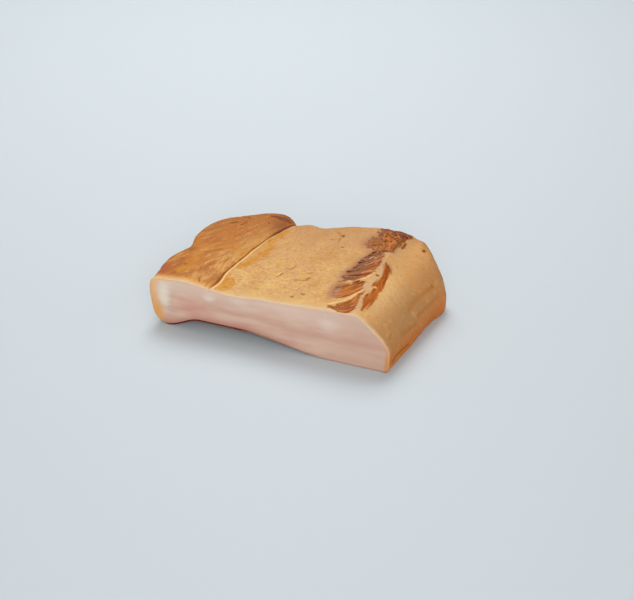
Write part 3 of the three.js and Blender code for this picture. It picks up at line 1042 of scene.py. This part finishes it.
# %% Lay the areas of skin over each other
skin = blend(soft_step(note("across"), 0.6, -0.6), top_tan, lobe_brown)
skin = blend(note("end"), skin, end_tan_with_painted_shade)
skin = blend(note("side"), skin, side_brown)
foot_share = times(soft_step(note("above"), 12, 1, 0.8), rest_of(note("end")))
skin = blend(foot_share, skin, linear(132, 70, 28))

frayed = times(centred(tints), 11.0)
stain_share = soft_step(plus(note("stain"), frayed), -2.6, 2.8, 0.8)
stain_colour = blend(soft_step(mottle, 0.4, 0.62), linear(196, 136, 28), linear(186, 116, 20))
skin = blend(stain_share, skin, stain_colour)
skin = blend(times(note("bruise"), 0.85), skin, linear(164, 112, 82))

# A pale line along the lip of the string mark: painted highlight, over the lip's cream fat.
lip_off = maths("ABSOLUTE", maths("SUBTRACT", note("across"), 2.3))
lip_highlight_share = times(soft_step(lip_off, 1.9, 0.2, 0.85), soft_step(behind_cut, 94, 62))
skin = blend(lip_highlight_share, skin, linear(236, 192, 132))
# The groove is painted dark brown as painted shade, darkest in its deep part at the back.
groove_off = maths("ABSOLUTE", plus(note("across"), 0.4))
groove_shade_share = times(soft_step(groove_off, 1.8, 0.5, 0.9), soft_step(behind_cut, -3, 12))
skin = blend(groove_shade_share, skin, linear(140, 74, 16))
deep_groove_shade_share = times(soft_step(groove_off, 4.0, 0.8, 0.9), soft_step(behind_cut, 82, 106))
skin = blend(deep_groove_shade_share, skin, linear(90, 36, 6))
# A pale line on the skin along the rim of the cut: painted highlight on the rim's crest, with the pale skin
# line at the edge.
rim_highlight_reach = plus(behind_cut, times(centred(tints), 3.0))
skin = blend(soft_step(rim_highlight_reach, 4.4, 0.4, 0.85), skin, linear(206, 180, 146))
print("nodes so far:", len(tree.nodes))

# %% [markdown]
# ## Lean meat
#
# Dried lean is dark red brown at the back, where the crust is coarse, purple brown on the left of the
# streaks and clear orange brown where the fat has soaked in. Noise that is stretched along the fibres
# gives the threads, and the same noise frays the edge between lean and fat.

# %% Lean
fibre_vector = vector_of(note("fibre"), times(behind_cut, 0.13), times(up_z, 0.13))
threads = speckle(fibre_vector, 1.9, 3, 0.62)
fine_threads = speckle(fibre_vector, 1.0, 3, 0.6)
bands = speckle(fibre_vector, 4.0, 1, 0.5)
crust_share = soft_step(behind_cut, 85, 91)
fray = times(crust_share, times(centred(tints), 12.0))
for pattern, reach in ((threads, 8.5), (bands, 5.0), (mottle, 3.0)):
    fray = plus(fray, times(centred(pattern), reach))
fray = times(fray, rest_of(soft_step(from_left, 60, 65, 0.5)))
lean_share = soft_step(plus(note("lean"), fray), -1.3, 0.5)

pale_most = rest_of(soft_step(from_left, 62, 66, 0.6))
orange = coated(
    blend(soft_step(threads, 0.42, 0.6), linear(186, 108, 28), linear(116, 46, 4)),
    (soft_step(bands, 0.52, 0.66, 0.6), (156, 78, 28)),
    (times(pale_most, soft_step(fine_threads, 0.55, 0.67, 0.65)), (214, 160, 96)),
    (soft_step(grain, 0.54, 0.66, 0.5), (120, 54, 14)),
    (soft_step(from_left, 62, 66, 0.45), (174, 84, 4)),
)
purple = coated(
    blend(soft_step(threads, 0.42, 0.58), linear(150, 88, 54), linear(78, 32, 16)),
    (soft_step(bands, 0.54, 0.68, 0.6), (120, 70, 52)),
    (soft_step(fine_threads, 0.55, 0.67, 0.75), (204, 154, 118)),
    (soft_step(behind_cut, 44, 33, 0.6), (190, 142, 110)),
)
lean_colour = blend(note("cool"), orange, purple)
crust_grain = plus(times(mottle, 0.7), times(grain, 0.3))
red_share = plus(soft_step(from_left, 57, 65, 0.65), soft_step(behind_cut, 108, 117, 0.7))
crust = coated(
    blend(soft_step(crust_grain, 0.46, 0.54), linear(194, 108, 24), linear(80, 28, 4)),
    (soft_step(grain, 0.55, 0.65, 0.7), (214, 158, 96)),
    (soft_step(tints, 0.52, 0.64, 0.5), (120, 50, 12)),
    (times(note("cool"), 0.6), (122, 80, 56)),
    (red_share, (98, 32, 12)),
)
lean_colour = blend(crust_share, lean_colour, crust)
gap_share = times(soft_step(note("lean"), -6, -1, 0.75), soft_step(from_left, 49, 55))
surface = blend(times(gap_share, soft_step(from_left, 72, 66)), skin, linear(194, 155, 117))
surface = blend(lean_share, surface, lean_colour)
# Marks darken with their shade: painted shade in cracks, dents and folds, over the flecks' own dark colour.
# Pale marks are pale scratches and threads, and the small flap's painted highlight.
surface = coated(
    surface,
    (soft_step(note("mark"), 0.04, 0.36, 0.55), (172, 106, 40)),
    (soft_step(note("mark"), 0.3, 1.0, 0.85), (104, 50, 16)),
    (soft_step(note("mark"), -0.12, -0.8, 0.85), (234, 186, 122)),
)
print("nodes so far:", len(tree.nodes))

# %% [markdown]
# ## The cut face
#
# Raw fat inside is pinkish white, pinker in soft patches, and a faint seam between two layers crosses it
# from end to end. It is whitest in the upper left, partly from white patches of its own and partly from
# painted light: the colour is painted lighter towards the top and darker towards the right, and darker
# pink at the foot on the left as painted shade. It has a thin line of smoked skin along the top and the
# ends, creamy along the top and orange at the ends, and a thin dark red line along its foot.

# %% Cut face
flow = speckle(vector_of(times(along_x, 0.22), 0.0, up_z), 7, 2, 0.5)
blush = plus(note("blush"), times(centred(flow), 0.9))
seam_off = maths("ABSOLUTE", plus(note("seam"), times(centred(flow), 4.0)))
# Darker pink near the foot of the cut, on its left: painted shade.
painted_foot_shade = times(soft_step(note("above"), 8, 0.5, 0.65), soft_step(from_left, 50, -20))
pink = coated(
    blend(soft_step(flow, 0.36, 0.64), linear(207, 178, 162), linear(199, 164, 149)),
    # Lighter towards the top of the cut: painted light.
    (soft_step(up_z, 22, 38, 0.6), (216, 195, 182)),
    # Darker towards the right of the cut: painted shade.
    (soft_step(from_left, 20, 90, 0.5), (187, 154, 138)),
    (soft_step(blush, 0.05, 1.0, 0.85), (204, 154, 142)),
    (soft_step(blush, -0.05, -1.0, 0.9), (220, 212, 200)),
    (soft_step(seam_off, 4.2, 0.2, 0.36), (190, 146, 130)),
    (painted_foot_shade, (170, 110, 96)),
)

rim_noise = times(centred(mottle), 0.5)
left_low = times(soft_step(from_left, -80, -94, 0.35), soft_step(up_z, 26, 10))
band_share = soft_step(plus(plus(note("skin"), rim_noise), left_low), -0.2, 0.9)
band_colour = coated(
    blend(soft_step(up_z, 36, 8), linear(210, 190, 164), linear(200, 134, 74)),
    (soft_step(note("skin"), 0.5, 1.0, 0.3), (214, 168, 112)),
    (soft_step(from_left, -86, -97, 0.6), (226, 172, 112)),
)
pink = blend(band_share, pink, band_colour)
# A thin dark red line along the foot of the cut, strongest at the left.
foot_line_share = plus(0.3, soft_step(from_left, -8, -34, 0.7))
pink = blend(times(foot_line_share, soft_step(note("foot_line"), 0.0, 0.5)), pink, linear(96, 20, 6))
cut_share = soft_step(behind_cut, 0.9, 0.6)
front_share = times(cut_share, soft_step(note("end"), 2.0, 1.5))
surface = blend(front_share, surface, pink)
print("nodes so far:", len(tree.nodes))

# %% [markdown]
# ## Grain, gloss and depth
#
# Fat lets light in a little, so the shader scatters some of it under the surface, most of all on the
# fresh cut. The lean is a bit glossier than the skin. The grain is too fine for the mesh, so it is a
# bump: pores on the skin, threads on the lean, and almost nothing on the cut.

# %% Shader
not_cut = rest_of(front_share)
height = plus(times(grain, 0.4), times(mottle, 0.9))
thread_height = plus(times(threads, 1.4), times(fine_threads, 0.7))
height = plus(height, times(lean_share, thread_height))
height = maths("MULTIPLY", height, plus(times(not_cut, 0.94), 0.06))
bump = tree.nodes.new("ShaderNodeBump")
bump.inputs["Strength"].default_value = 0.6
bump.inputs["Distance"].default_value = 0.0005
tree.links.new(height, bump.inputs["Height"])

shader = tree.nodes.new("ShaderNodeBsdfPrincipled")
shader.subsurface_method = "RANDOM_WALK"
feed(shader.inputs["Base Color"], surface)
feed(shader.inputs["Normal"], bump.outputs[0])
roughness = plus(0.42, times(mottle, 0.2))
feed(shader.inputs["Roughness"], maths("SUBTRACT", roughness, times(lean_share, 0.1)))
thick_share = rest_of(lean_share)
feed(shader.inputs["Subsurface Weight"], plus(times(thick_share, 0.07), times(front_share, 0.6)))
shader.inputs["Subsurface Radius"].default_value = (1.0, 0.5, 0.3)
shader.inputs["Subsurface Scale"].default_value = 0.0035
shader.inputs["Specular IOR Level"].default_value = 0.1
shader.inputs["Specular Tint"].default_value = (1.0, 0.86, 0.68, 1.0)
output = tree.nodes.new("ShaderNodeOutputMaterial")
tree.links.new(shader.outputs[0], output.inputs["Surface"])
slab.data.materials.append(fat)
print("nodes in the material:", len(tree.nodes))

# %% [markdown]
# ## Floor and light
#
# The slab lies on a plain pale floor that fills the view. One wide soft light overhead and a little
# behind, a weaker one from the front and a bright, even surrounding give the flat light of a product
# photograph, with a soft shadow close to the slab.

# %% Floor
FLOOR_HALF_SIDE = 4 # in metres
floor_mesh = bmesh.new()
bmesh.ops.create_grid(floor_mesh, x_segments=1, y_segments=1, size=FLOOR_HALF_SIDE)
floor = bpy.data.objects.new("floor", bpy.data.meshes.new("floor"))
floor_mesh.to_mesh(floor.data)
floor_mesh.free()
floor.location.z = -0.0002
paint = bpy.data.materials.new("pale floor")
paint.use_nodes = True
paint.node_tree.nodes["Principled BSDF"].inputs["Base Color"].default_value = linear(192, 204, 214)
paint.node_tree.nodes["Principled BSDF"].inputs["Roughness"].default_value = 0.7
floor.data.materials.append(paint)
bpy.context.collection.objects.link(floor)
floor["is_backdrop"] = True
print("floor side, m:", 2 * FLOOR_HALF_SIDE)

# %% Light
WARM = (1.0, 0.965, 0.92)


def soft_light(name, position, target, side, power, spread):
    light = bpy.data.objects.new(name, bpy.data.lights.new(name, "AREA"))
    light.data.shape = "DISK"
    light.data.size = side
    light.data.energy = power
    light.data.spread = math.radians(spread)
    light.data.color = WARM
    light.location = position
    light.rotation_euler = (Vector(target) - Vector(position)).to_track_quat("-Z", "Y").to_euler()
    bpy.context.collection.objects.link(light)
    return light


soft_light("overhead", (-0.5, 0.85, 1.4), (0, 0.05, 0), 1.2, 21, 180)
soft_light("front fill", (0.7, -1.5, 0.8), (0.0, 0, 0.02), 1.0, 2.9, 60)
world = bpy.data.worlds.new("studio")
world.use_nodes = True
world.node_tree.nodes["Background"].inputs["Color"].default_value = linear(244, 240, 234)
world.node_tree.nodes["Background"].inputs["Strength"].default_value = 0.45
bpy.context.scene.world = world
bpy.context.scene.view_settings.view_transform = "Standard"

# %% [markdown]
# ## Print the size and finish
#
# The dressed slab has to fill the same box as the plain solid; both boxes are printed.

# %% Print the two boxes and finish
visual_low, visual_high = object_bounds()
boxes = {
    "cad": [list(cad_low), list(cad_high)],
    "visual": [list(visual_low), list(visual_high)],
}
for name, (box_low, box_high) in boxes.items():
    print(name, "box, mm:", [round((b - a) / MM, 1) for a, b in zip(box_low, box_high)])
